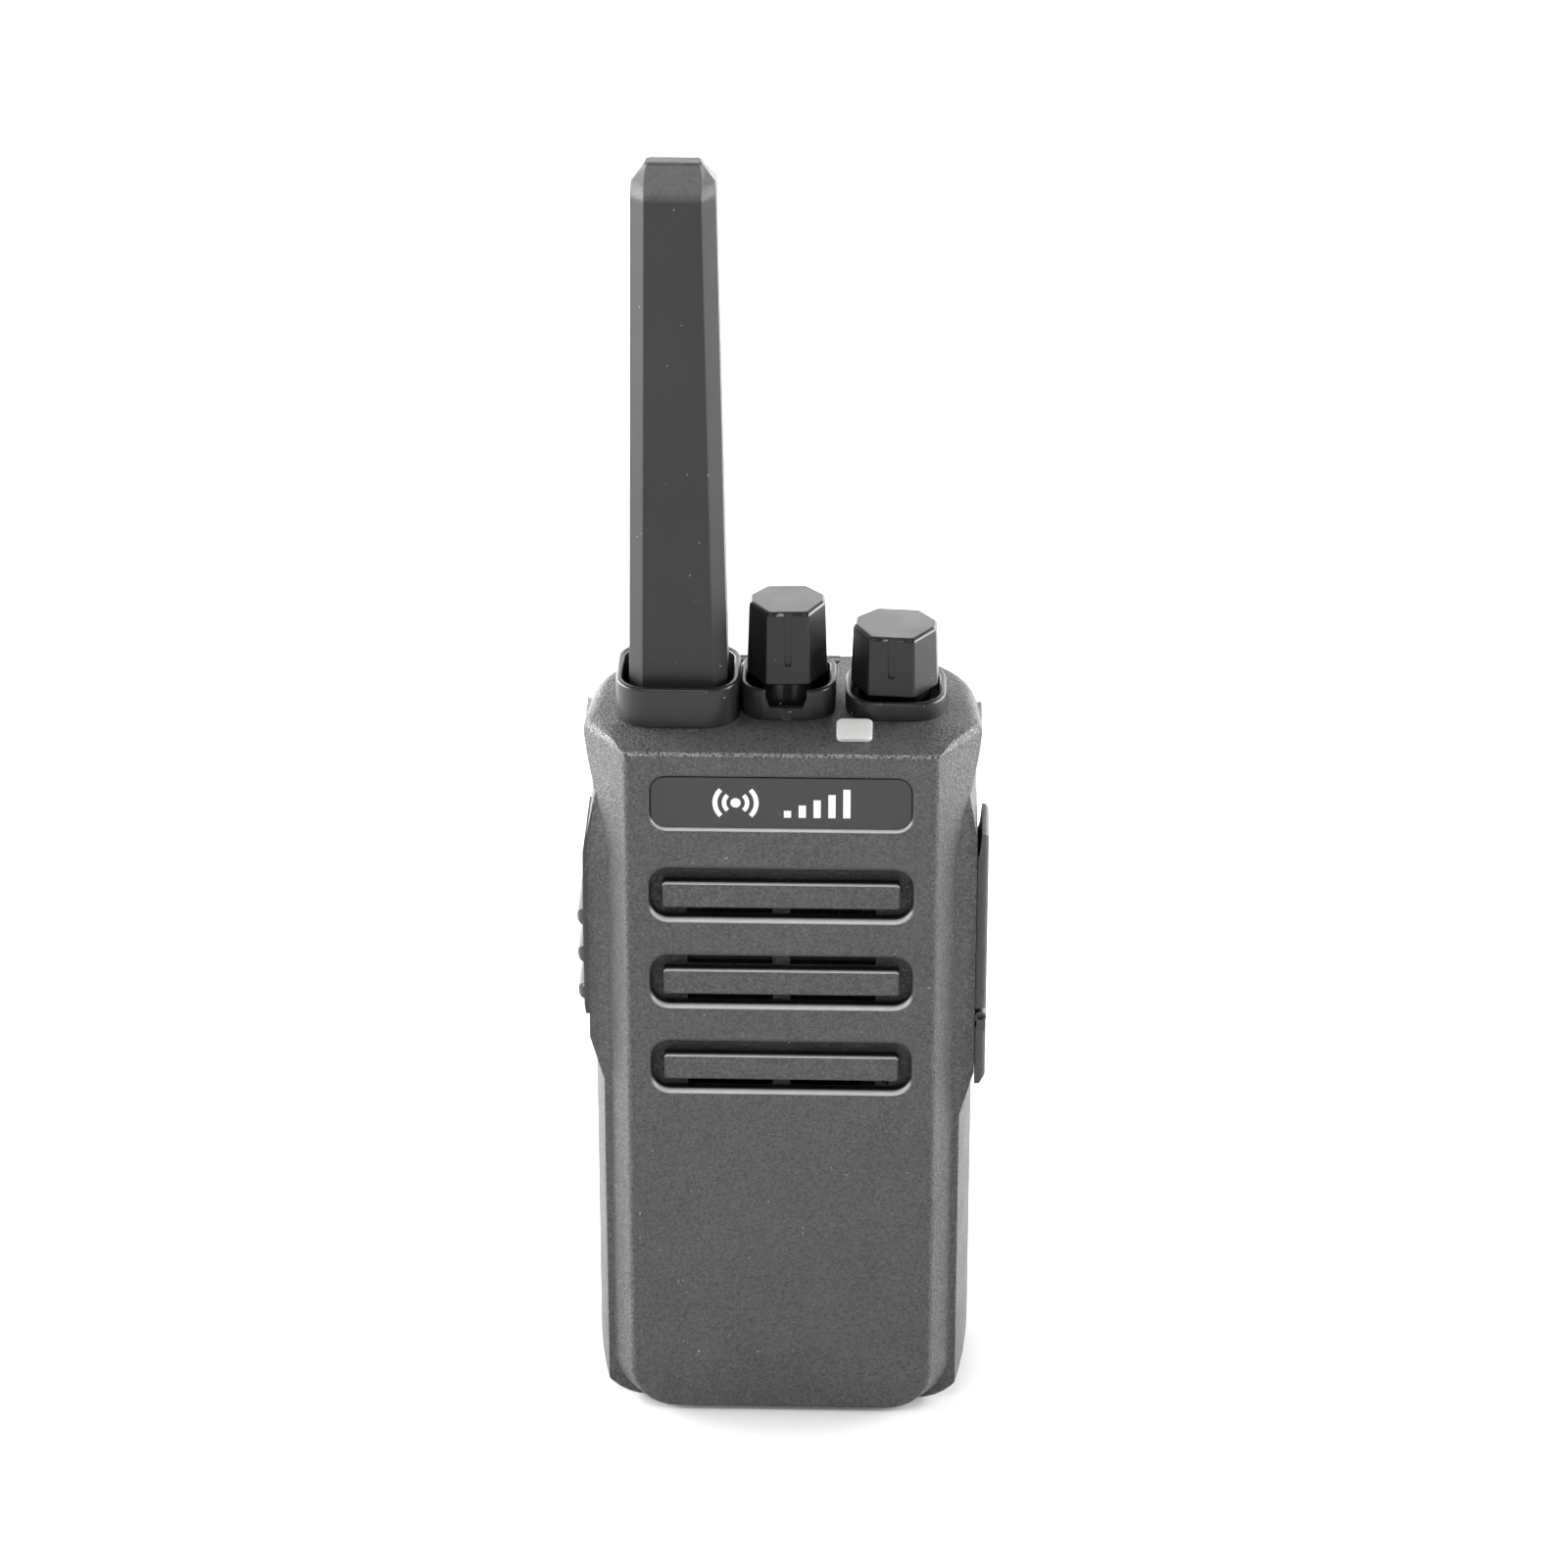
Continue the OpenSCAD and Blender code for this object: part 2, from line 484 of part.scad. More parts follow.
// ---- Antenna ----
// Outline at height z: w wide, d deep, with a flat front and back of that width and corners cut back by cut_y
function antenna_ring(z, w, d, flat, cut_y) = [for (p = soft([[w / 2, -d / 2 + cut_y], [w / 2, d / 2 - cut_y],
    [flat / 2, d / 2], [-flat / 2, d / 2], [-w / 2, d / 2 - cut_y], [-w / 2, -d / 2 + cut_y],
    [-flat / 2, -d / 2], [flat / 2, -d / 2]], 0.35, 2))
    [p[0] + antenna_at[0] - antenna_lean * (z - deck_z) / (tip_z - deck_z), p[1] + antenna_at[1], z]];
module antenna_sheath() color([0.05, 0.05, 0.055]) difference() {
    w = antenna_w - 2.3;
    d = antenna_d - 1.9;
    loft([antenna_ring(deck_z + 0.2, antenna_w + 0.1, antenna_d, antenna_w - 4, 2.2),
        antenna_ring(tip_z - 5, w, d, w - 4.1, 2.2),
        antenna_ring(tip_z - 4.3, w, d - 0.3, w - 4.1, 2.1),
        antenna_ring(tip_z - 3.4, w, d - 1.3, w - 4.1, 1.9),
        antenna_ring(tip_z - 2.5, w - 0.2, d - 2.7, w - 4.1, 1.7),
        antenna_ring(tip_z - 1.3, w - 2.3, d - 4.8, w - 4.2, 1.2),
        antenna_ring(tip_z - 0.4, w - 3.6, d - 6, w - 4.7, 0.85),
        antenna_ring(tip_z, w - 4.3, d - 6.9, w - 5.2, 0.6)], false);
    translate([antenna_at[0], antenna_at[1], deck_z - 1]) cylinder(r = 3.05, h = 76);
}
module at_antenna(z) translate([antenna_at[0], antenna_at[1], z]) children();
module antenna_ferrule() color([0.8, 0.65, 0.32]) at_antenna(0) {
    translate([0, 0, 104.5]) cylinder(r = 2.2, h = 9);
    translate([0, 0, deck_z + 0.2]) cylinder(r = 3, h = 6);
}
module antenna_socket() color([0.78, 0.62, 0.3]) at_antenna(103) difference() {
    union() {
        cylinder(r = 3.2, h = deck_z - 103);
        translate([0, 0, 3]) hex_prism(8, 2.5);
        translate([0, 0, deck_z - wall - 1.3 - 103]) cylinder(r = 5, h = 1.2);
    }
    translate([0, 0, 1]) cylinder(r = 2.2, h = 20);
}
module antenna_core() color([0.85, 0.85, 0.8]) at_antenna(deck_z + 6.2) cylinder(r = 2, h = 66);
module antenna_coil() color([0.75, 0.42, 0.2]) at_antenna(deck_z + 6.4)
    spring_wire(2.45, 0.35, 62, 14);

// ---- Knobs: eight flat sides, the front one with a pointer groove ----
function knob_ring(side, w, z) = flat_ring(soft([[w / 2, -0.14 * side], [w / 2, 0.32 * side],
    [side / 2, side * cos(30)], [-side / 2, side * cos(30)], [-w / 2, 0.32 * side], [-w / 2, -0.14 * side],
    [-side / 2, -side * cos(30)], [side / 2, -side * cos(30)]], 0.55), z);
module pointer_groove(low, top, depth) prism_y(-8, -depth) polygon(concat([[0.65, top + 1], [-0.65, top + 1]],
    arc(0, low + 0.5, 0.52, 0.5, 180, 360, 6)));
module knob(at, turn, low, top, side, w) translate([at[0], at[1], 0]) rotate([0, 0, turn]) difference() {
    union() {
        loft(concat([knob_ring(side - 0.2, w - 0.35, low), knob_ring(side, w, low + 0.2)],
            [for (a = [0:22.5:90]) let (in = 0.3 + 0.7 * (1 - cos(a)))
                knob_ring(side - in / cos(30), w - 2 * in, top - 0.7 * (1 - sin(a)))]), false);
        translate([0, 0, deck_z + 0.6]) cylinder(r = 5.3, h = low - deck_z);
    }
    translate([0, 0, deck_z]) cylinder(r = 4.75, h = 3.2);
    translate([0, 0, deck_z]) cylinder(r = shaft_r, h = top - deck_z - 3);
    pointer_groove(low + 2.8, top, side * cos(30) - 0.55);
}
module channel_knob() color([0.04, 0.04, 0.045])
    knob(channel_at, channel_rest, channel_rim + 0.2, channel_top, 6.3, 11.7);
module volume_knob() color([0.04, 0.04, 0.045])
    knob(volume_at, volume_rest, volume_rim + 0.3, volume_top, 6.75, 12.7);
module shaft(at, top) translate([at[0], at[1], 104.8]) cylinder(r = shaft_r, h = top - 3 - 104.8);
module channel_shaft() color([0.75, 0.75, 0.77]) shaft(channel_at, channel_top);
module volume_shaft() color([0.75, 0.75, 0.77]) shaft(volume_at, volume_top);

// ---- Talk button ----
// Column from x to x_out whose two outer edges are rounded by r
module side_column(x, x_out, y, r) linear_extrude(deck_z) polygon([[x, y[0]], for (p = arc(x_out - r, y[0] + r, r, r,
    -90, 0, 5)) p, for (p = arc(x_out - r, y[1] - r, r, r, 0, 90, 5)) p, [x, y[1]]]);
module ptt_button() color([0.05, 0.05, 0.055]) intersection() {
    mirror([1, 0, 0]) side_column(20, 30.3, ptt_y, 1);
    prism_y(ptt_y[0], ptt_y[1]) polygon([
        [-ptt_floor_x - ptt_travel - gap, ptt_z[0]], [-29.2, ptt_z[0]], [-29.4, ptt_z[0] + 1.5],
        for (i = [0:2]) for (p = arc(-29.4, 69.8 + 6.2 * i, 0.9, 1.3, 270, 90, 6)) p,
        [-29.3, ptt_z[1] - 3], [-28.9, ptt_z[1]], [-ptt_floor_x - ptt_travel - gap, ptt_z[1]]]);
}
module ptt_plungers() color([0.3, 0.3, 0.31]) for (z = plunger_z) translate([0, plunger_y, z])
    rod_x(1, -ptt_floor_x - ptt_travel - gap, -switch_x - ptt_travel - 0.05);
module ptt_switches() color([0.7, 0.7, 0.7]) for (z = plunger_z)
    box([-switch_x, -switch_x + 1.3], [plunger_y - 2, plunger_y + 2], [z - 2, z + 2]);
module ptt_board() color([0.05, 0.25, 0.12])
    box([-switch_x + 1.3, -switch_x + 2.1], [plunger_y - 2.6, board_y - 0.2], [68, 92]);

// ---- Accessory sockets and their cover ----
module jack_block() color([0.1, 0.1, 0.1]) difference() {
    union() {
        box([12, 23.8], [jack_y - 3.4, jack_y + 3.4], [jack_z[0] - 3.8, jack_z[1] + 3.8]);
        for (z = jack_z) translate([0, jack_y, z]) rod_x(3.1, 23, jack_mouth_x);
    }
    translate([0, jack_y, jack_z[0]]) rod_x(jack_r[0], jack_mouth_x - 13, jack_mouth_x + 1);
    translate([0, jack_y, jack_z[1]]) rod_x(jack_r[1], jack_mouth_x - 11, jack_mouth_x + 1);
}
module knuckle(y0, y1, bore, z_to) difference() {
    union() {
        translate([hinge_at[0], 0, hinge_at[1]]) rod_y(knuckle_r, y0, y1);
        box([hinge_at[0] - 0.6, hinge_at[0] + 0.6], [y0, y1],
            [min(hinge_at[1], z_to), max(hinge_at[1], z_to)]);
    }
    translate([hinge_at[0], 0, hinge_at[1]]) rod_y(bore, y0 - 1, y1 + 1);
}
module jack_cover() color([0.05, 0.05, 0.055]) {
    difference() {
        intersection() {
            side_column(20, cover_x[1], cover_y, 0.8);
            prism_y(cover_y[0], cover_y[1]) polygon(concat([[cover_x[0], cover_z[0]], [cover_x[1], cover_z[0]]],
                arc(cover_x[1] - 0.7, cover_z[1] - 0.7, 0.7, 0.7, 0, 90, 4),
                [[cover_x[0] + 0.6, cover_z[1]], [cover_x[0] + 0.3, cover_z[1] - 3], [cover_x[0], cover_z[1] - 4]]));
        }
        box([cover_x[0] - 1, cover_x[0] + 0.5], [jack_y - 3, jack_y + 3], [jack_z[0] - 4, jack_z[1] + 4]);
    }
    knuckle(-8.7, -3.3, hinge_r + run, cover_z[0] + 0.4);
}
module cover_base() color([0.05, 0.05, 0.055]) {
    difference() {
        intersection() {
            side_column(20, cover_x[1], cover_y, 0.8);
            prism_y(cover_y[0], cover_y[1]) polygon([[cover_x[0], base_z[0]], [cover_x[1] - 0.9, base_z[0]],
                [cover_x[1], base_z[0] + 1.4], [cover_x[1], base_z[1]], [cover_x[0], base_z[1]]]);
        }
        translate([0, jack_y, 60]) {
            rod_x(0.9, 28, 31);
            rod_x(1.8, cover_x[0] + 0.7, 31);
        }
    }
    knuckle(cover_y[0], -9, hinge_r, base_z[1] - 0.4);
    knuckle(-3, cover_y[1], hinge_r, base_z[1] - 0.4);
}
module cover_pin() color([0.75, 0.75, 0.77]) translate([hinge_at[0], 0, hinge_at[1]])
    rod_y(hinge_r, cover_y[0] + 0.4, cover_y[1] - 0.4);
module cover_screw() color([0.5, 0.5, 0.52]) translate([0, jack_y, 60]) difference() {
    union() {
        rod_x(0.9, 24.8, cover_x[0] + 0.7);
        rod_x(1.7, cover_x[0] + 0.7, cover_x[1] - 0.1);
    }
    for (a = [0, 90]) rotate([a, 0, 0]) translate([cover_x[1] - 0.5, -1, -0.2]) cube([1, 2, 0.4]);
}

// ---- Battery ----
module battery_shape(y0, y1) intersection() {
    body_solid();
    union() {
        box([-40, 40], [y0, y1], [0, tilt_at[1]]);
        box([-40, 40], [y0, min(y1, tilt_at[0])], [0, battery_z]);
        if (y1 > tilt_at[0]) translate([0, tilt_at[0], tilt_at[1]]) rod_x(edge_r, -40, 40);
    }
}
module battery_room(y0, y1) intersection() {
    linear_extrude(deck_z) polygon(both(concat([[26.4, 0], [26.4, 4]], arc(15, 3, 11.4, 12, 5, 90, 8))));
    box([-26, 26], [y0, y1], [case_wall, battery_z - case_wall]);
}
module tongue_way() box([-3.3, 3.3], [0, 17], [tongue_z[0] - 0.3, tongue_z[1] + latch_travel + 0.3]);
module battery_tray() color([0.07, 0.07, 0.075]) difference() {
    union() {
        battery_shape(battery_y, split_y);
        for (s = [-1, 1]) hook(s, 0, battery_y + 0.3);
    }
    battery_room(battery_y + case_wall, split_y + 1);
    tongue_way();
    for (i = [-1:1]) box([5 * i - 1.6, 5 * i + 1.6], [0, battery_y + 0.4], [contact_z - 3, contact_z + 3]);
}
module latch_pocket() box([-latch_x - 0.2, latch_x + 0.2], [14.4, 20],
    [latch_z[0] - 0.2, latch_z[1] + latch_travel + 0.3]);
module battery_cover() color([0.07, 0.07, 0.075]) difference() {
    union() {
        difference() {
            battery_shape(split_y + gap, back_y);
            battery_room(split_y - 1, back_y - case_wall);
        }
        intersection() {
            battery_shape(13, back_y);
            box([-12, 12], [13, 20], [0.5, 17.5]);
        }
    }
    latch_pocket();
    tongue_way();
    for (s = [-1, 1]) {
        translate([s * 5.5, 0, 77.5]) rod_y(1, 14, 20);
        translate([s * 13, 0, 24]) rod_y(2, back_y - 0.4, 20);
    }
}
module battery_cells() color([0.25, 0.35, 0.55]) for (s = [-1, 1])
    box([s * 11 - 10.6, s * 11 + 10.6], [6, 12.8], [20, 84]);
module battery_board() color([0.05, 0.25, 0.12]) box([-16, 16], [6.2, 11.5], [18.2, 19]);
module battery_terminals() color([0.83, 0.66, 0.3])
    for (i = [-1:1]) box([5 * i - 1.6, 5 * i + 1.6], [battery_y, battery_y + 0.4], [contact_z - 3, contact_z + 3]);
module charge_contacts() color([0.83, 0.66, 0.3])
    for (s = [-1, 1]) translate([s * 13, 0, 24]) rod_y(2, back_y - 0.4, back_y);
module battery_latch() color([0.05, 0.05, 0.055]) difference() {
    union() {
        box([-latch_x, latch_x], [14.6, back_y], latch_z);
        for (i = [0:3]) translate([0, back_y, latch_z[0] + 1.4 + 1.6 * i]) rod_x(0.5, -latch_x + 1, latch_x - 1);
        box([-3, 3], [plate_y0 + 0.6, 14.7], tongue_z);
    }
    translate([0, 15.6, 9.4]) cylinder(r = 0.8, h = 10);
}
module latch_spring() color([0.7, 0.7, 0.72]) translate([0, 15.6, 9.4])
    spring_wire(0.5, 0.15, latch_z[1] + latch_travel + 0.3 - 9.4, 7);

// ---- Belt clip ----
module clip_bracket() color([0.06, 0.06, 0.065]) difference() {
    union() {
        box([-11, 11], [back_y, back_y + 1.8], [62, 82]);
        for (s = [-1, 1]) box([s * 10 - 1, s * 10 + 1], [back_y + 1, clip_at[0]], [clip_at[1] - 2.4, clip_at[1] + 2.4]);
        for (s = [-1, 1]) translate([s * 10 - 1, clip_at[0], clip_at[1]]) rod_x(2.4, 0, 2);
    }
    translate([0, clip_at[0], clip_at[1]]) rod_x(clip_pin_r, -12, 12);
    for (s = [-1, 1]) translate([s * 5.5, 0, 77.5]) rod_y(1, 14, 20);
}
module clip_screws() color([0.6, 0.6, 0.6]) for (s = [-1, 1]) translate([s * 5.5, 0, 77.5]) difference() {
    union() {
        rod_y(1, 14.2, back_y + 1.8);
        rod_y(1.9, back_y + 1.8, back_y + 2.8);
    }
    translate([0, back_y + 2.2, 0]) cross_recess(0.9);
}
module clip_pin() color([0.75, 0.75, 0.77])
    translate([0, clip_at[0], clip_at[1]]) rod_x(clip_pin_r, -11, 11);
module clip_spring() color([0.7, 0.7, 0.72]) translate([-3, clip_at[0], clip_at[1]]) rotate([0, 90, 0])
    spring_wire(1.3, 0.25, 6, 7, 8, 16);
module belt_clip() color([0.05, 0.05, 0.055]) difference() {
    union() {
        intersection() {
            prism_x(-clip_w / 2, clip_w / 2) polygon([[22.6, 85], [22.6, 34], [21, 27], [17.6, 23.5], [17, 21],
                [17.6, 20], [19, 20], [22.6, 24], [24.2, 30], [clip_outer_y, 40], [clip_outer_y, 84],
                [23.8, 85]]);
            prism_y(10, 30) translate([0, 52.5]) polygon(rounded(clip_w, 65, 4));
        }
        translate([0, clip_at[0], clip_at[1]]) {
            for (s = [-1, 1]) translate([s * 6.1, 0, 0]) rod_x(2.4, -2.4, 2.4);
            for (s = [-1, 1]) box([s * 6.1 - 2.4, s * 6.1 + 2.4], [0, 2], [-2.4, 2.4]);
        }
    }
    translate([0, clip_at[0], clip_at[1]]) rod_x(clip_pin_r + run, -12, 12);
}

front_housing();
rear_chassis();
chassis_seal();
antenna_collar();
channel_collar();
volume_collar();
nameplate();
led_lens();
status_led();
speaker_frame();
speaker_cone();
speaker_gasket();
speaker_mesh();
microphone();
mic_boot();
main_board();
shield_cans();
board_chips();
channel_switch();
volume_control();
control_nuts();
antenna_socket();
antenna_sheath();
antenna_ferrule();
antenna_core();
antenna_coil();
channel_knob();
channel_shaft();
volume_knob();
volume_shaft();
ptt_button();
ptt_plungers();
ptt_switches();
ptt_board();
jack_block();
jack_cover();
cover_base();
cover_pin();
cover_screw();
chassis_screws();
contact_block();
contact_springs();
strap_bar();
battery_tray();
battery_cover();
battery_cells();
battery_board();
battery_terminals();
charge_contacts();
battery_latch();
latch_spring();
clip_bracket();
clip_screws();
clip_pin();
clip_spring();
belt_clip();
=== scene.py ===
"""A handheld two-way radio, dressed for the camera: moulded plastics, metals, print and soft studio light."""

import json
import math

import bmesh
import bpy
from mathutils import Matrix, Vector

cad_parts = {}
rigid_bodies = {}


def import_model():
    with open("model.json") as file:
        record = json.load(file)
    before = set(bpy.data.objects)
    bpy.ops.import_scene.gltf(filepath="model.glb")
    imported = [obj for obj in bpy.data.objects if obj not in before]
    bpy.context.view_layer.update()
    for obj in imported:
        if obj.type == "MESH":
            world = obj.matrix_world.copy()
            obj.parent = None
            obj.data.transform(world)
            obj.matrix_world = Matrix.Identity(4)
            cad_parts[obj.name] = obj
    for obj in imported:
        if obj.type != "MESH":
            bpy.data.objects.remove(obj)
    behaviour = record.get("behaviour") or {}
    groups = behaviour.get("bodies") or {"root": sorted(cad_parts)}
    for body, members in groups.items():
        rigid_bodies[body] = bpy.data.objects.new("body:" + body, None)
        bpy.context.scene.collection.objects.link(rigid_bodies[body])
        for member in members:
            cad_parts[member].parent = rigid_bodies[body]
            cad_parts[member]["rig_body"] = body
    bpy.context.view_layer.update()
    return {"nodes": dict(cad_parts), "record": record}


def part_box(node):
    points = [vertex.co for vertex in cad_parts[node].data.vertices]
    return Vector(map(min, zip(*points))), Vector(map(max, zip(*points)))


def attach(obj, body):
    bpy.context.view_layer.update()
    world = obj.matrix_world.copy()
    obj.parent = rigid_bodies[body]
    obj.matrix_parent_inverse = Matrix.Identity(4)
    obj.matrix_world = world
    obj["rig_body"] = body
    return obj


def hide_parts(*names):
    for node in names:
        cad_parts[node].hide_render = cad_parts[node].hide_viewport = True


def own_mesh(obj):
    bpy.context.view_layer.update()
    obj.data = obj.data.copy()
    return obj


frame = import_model()
MM = 0.001

# ---- Camera, floor and light ----
# The camera's turn round from the front and its height above the horizon, in degrees
CAMERA_TURN, CAMERA_RAISE = 1.5, 26.2
CAMERA_DISTANCE = 0.8
CAMERA_TARGET = (0, 0, 0.0989)
LENS_MM, SENSOR_MM = 124.2, 36

FLOOR_HALF, FLOOR_Z = 6, -0.0002
# The floor's glow near the object and far from it, and the distances at which it starts and stops rising
GLOW, GLOW_REACH = (0.1, 0.85), (0.16, 0.6)
DOME_STRENGTH = 0.12

BODY_AT, TOPS_AT = (0, 0, 0.07), (0, 0, 0.12)
# Each soft box: its place, what it is aimed at, its width and height, and its watts
SOFT_BOXES = {
    "left_side": ((-1.15, 0.3, 0.34), BODY_AT, (1.2, 0.6), 50),
    "right_side": ((1.15, 0.3, 0.34), BODY_AT, (1.2, 0.6), 41),
    "left_rim": ((-0.42, 0.8, 0.25), BODY_AT, (0.5, 0.4), 5),
    "right_rim": ((0.42, 0.8, 0.25), BODY_AT, (0.5, 0.4), 3),
    "key": ((-0.25, -0.9, 1.5), BODY_AT, (0.9, 0.6), 13),
    "front": ((0, -1.3, 0.16), BODY_AT, (1.4, 0.5), 3),
    "back": ((0, 1.0, 0.6), TOPS_AT, (0.5, 0.2), 2.2),
}


def link_new(name, data):
    """A new object in the scene."""
    made = bpy.data.objects.new(name, data)
    bpy.context.scene.collection.objects.link(made)
    return made


def aim(thing, direction):
    """Point a camera's or a light's own -Z along a direction."""
    thing.rotation_mode = "QUATERNION"
    thing.rotation_quaternion = direction.to_track_quat("-Z", "Y")


def make_camera():
    """The main view: a little above the object, and almost square on to its front."""
    turn, raised = math.radians(CAMERA_TURN), math.radians(CAMERA_RAISE)
    back = Vector((
        math.sin(turn) * math.cos(raised),
        -math.cos(turn) * math.cos(raised),
        math.sin(raised),
    ))
    data = bpy.data.cameras.new("camera")
    data.sensor_width = SENSOR_MM
    data.lens = LENS_MM
    data.clip_start, data.clip_end = 0.05, 20
    camera = link_new("camera", data)
    camera.location = Vector(CAMERA_TARGET) + back * CAMERA_DISTANCE
    aim(camera, -back)
    bpy.context.scene.camera = camera


def soft_box(name, place, target, size, watts):
    """An area light at place, aimed at target, that the camera doesn't see."""
    data = bpy.data.lights.new(name, "AREA")
    data.shape = "RECTANGLE"
    data.size, data.size_y = size
    data.energy = watts
    light = link_new(name, data)
    light.location = place
    light.visible_camera = False
    aim(light, Vector(target) - Vector(place))


def make_studio():
    """Big boxes on both sides, rims behind them, a high key, a low front, a back light and a dim dome."""
    world = bpy.data.worlds.new("studio")
    world.use_nodes = True
    world.node_tree.nodes["Background"].inputs["Color"].default_value = (1, 1, 1, 1)
    world.node_tree.nodes["Background"].inputs["Strength"].default_value = DOME_STRENGTH
    bpy.context.scene.world = world
    bpy.context.scene.view_settings.view_transform = "Standard"
    for name, (place, target, size, watts) in SOFT_BOXES.items():
        soft_box(name, place, target, size, watts)


def make_floor():
    """A pale floor. It glows a little where it is far from the object, so that it stays white all round."""
    mesh = bpy.data.meshes.new("floor")
    corners = [(-1, -1), (1, -1), (1, 1), (-1, 1)]
    mesh.from_pydata([(x * FLOOR_HALF, y * FLOOR_HALF, FLOOR_Z) for x, y in corners], [], [(0, 1, 2, 3)])
    floor = link_new("floor", mesh)
    n = Nodes("floor")
    away = n.tree.nodes.new("ShaderNodeVectorMath")
    away.operation = "LENGTH"
    n.link(n.place, away.inputs[0])
    n.link(n.ramp(away.outputs["Value"], *GLOW, GLOW_REACH), n.shader.inputs["Emission Strength"])
    n.link(n.colours(n.noise(30, 4), (0.71, 0.71, 0.71), (0.73, 0.73, 0.73)), n.shader.inputs["Base Color"])
    n.shader.inputs["Emission Color"].default_value = (1, 1, 1, 1)
    n.shader.inputs["Roughness"].default_value = 0.9
    n.shader.inputs["Specular IOR Level"].default_value = 0.1
    mesh.materials.append(n.material)


# ---- Materials ----
class Nodes:
    """Short forms for building one material's node tree."""

    def __init__(self, name):
        self.material = bpy.data.materials.new(name)
        self.material.use_nodes = True
        self.tree = self.material.node_tree
        self.shader = self.tree.nodes["Principled BSDF"]
        self.texcoord = self.tree.nodes.new("ShaderNodeTexCoord")
        self.place = self.texcoord.outputs["Object"]

    def link(self, source, target):
        self.tree.links.new(source, target)

    def noise(self, scale, detail=3.0, rough=0.55, distortion=0.0, stretch=None):
        node = self.tree.nodes.new("ShaderNodeTexNoise")
        node.inputs["Scale"].default_value = scale
        node.inputs["Detail"].default_value = detail
        node.inputs["Roughness"].default_value = rough
        node.inputs["Distortion"].default_value = distortion
        self.link(self.stretched(stretch) if stretch else self.place, node.inputs["Vector"])
        return node.outputs["Fac"]

    def stretched(self, scale):
        node = self.tree.nodes.new("ShaderNodeMapping")
        node.inputs["Scale"].default_value = scale
        self.link(self.place, node.inputs["Vector"])
        return node.outputs["Vector"]

    def ramp(self, source, low, high, stops=(0.0, 1.0)):
        """low to high, as source goes from the first stop to the second."""
        node = self.tree.nodes.new("ShaderNodeMapRange")
        node.inputs["From Min"].default_value = stops[0]
        node.inputs["From Max"].default_value = stops[1]
        node.inputs["To Min"].default_value = low
        node.inputs["To Max"].default_value = high
        self.link(source, node.inputs["Value"])
        return node.outputs["Result"]

    def math(self, kind, a, b):
        node = self.tree.nodes.new("ShaderNodeMath")
        node.operation = kind
        for value, socket in zip((a, b), node.inputs):
            if isinstance(value, (int, float)):
                socket.default_value = value
            else:
                self.link(value, socket)
        return node.outputs[0]

    def times(self, first, *others):
        """All the values multiplied together."""
        for other in others:
            first = self.math("MULTIPLY", first, other)
        return first

    def colours(self, source, dark, light):
        """Colour dark where source is 0, and light where it is 1."""
        node = self.tree.nodes.new("ShaderNodeMix")
        node.data_type = "RGBA"
        node.inputs["A"].default_value = (*dark, 1)
        node.inputs["B"].default_value = (*light, 1)
        self.link(source, node.inputs["Factor"])
        return node.outputs["Result"]

    def blend(self, source, a, b):
        """The colour output a where source is 0, and b where it is 1."""
        node = self.tree.nodes.new("ShaderNodeMix")
        node.data_type = "RGBA"
        self.link(source, node.inputs["Factor"])
        self.link(a, node.inputs["A"])
        self.link(b, node.inputs["B"])
        return node.outputs["Result"]

    def mixed(self, source, a, b):
        """The value a where source is 0, and b where it is 1."""
        return self.math("ADD", self.times(a, self.math("SUBTRACT", 1, source)), self.times(b, source))

    def split(self, source="Object"):
        """The X, Y and Z of the surface's place, or of its normal."""
        node = self.tree.nodes.new("ShaderNodeSeparateXYZ")
        self.link(self.texcoord.outputs[source], node.inputs[0])
        return node.outputs

    def within(self, value, low, high, soft=0.05 * MM):
        """1 where value lies between low and high, 0 outside."""
        return self.times(self.ramp(value, 0, 1, (low - soft, low + soft)),
                          self.ramp(value, 1, 0, (high - soft, high + soft)))

    def uneven_gloss(self, rough):
        """A roughness that wanders between the two values of rough."""
        return self.ramp(self.noise(160, 5, 0.65, 0.4), *rough, (0.3, 0.7))

    def dusted(self, colour, light):
        """The base colour, with a few pale specks of dust."""
        dust = self.ramp(self.noise(1300, 1), 0, 1, (0.79, 0.8))
        self.link(self.blend(dust, colour, self.colours(dust, light, (0.3, 0.3, 0.29))),
                  self.shader.inputs["Base Color"])

    def bump(self, height, distance):
        node = self.tree.nodes.new("ShaderNodeBump")
        node.inputs["Distance"].default_value = distance
        node.inputs["Strength"].default_value = 1
        self.link(height, node.inputs["Height"])
        self.link(node.outputs["Normal"], self.shader.inputs["Normal"])


def plastic(name, dark, light, rough=(0.4, 0.5), shine=0.5, fine=(2600, 0.004), painted_top_light=None,
            facing=(0.8, 0.97)):
    """
    Moulded plastic: mottled colour, uneven gloss, a fine surface and a few specks of dust. fine is that
    surface's scale and its depth in mm. Where the normal's Z is past facing, the tones are those of
    painted_top_light: the upward faces are painted lighter, as light falling from above.
    """
    n = Nodes(name)
    colour = n.colours(n.noise(70, 5, 0.6), dark, light)
    if painted_top_light:
        # Upward faces take lighter tones: painted light from above.
        facing_up = n.ramp(n.split("Normal")[2], 0, 1, facing)
        colour = n.blend(facing_up, colour, n.colours(n.noise(1500, 3, 0.6), *painted_top_light))
    n.dusted(colour, light)
    n.link(n.uneven_gloss(rough), n.shader.inputs["Roughness"])
    n.shader.inputs["Specular IOR Level"].default_value = shine
    n.bump(n.noise(fine[0], 2), fine[1] * MM)
    return n.material


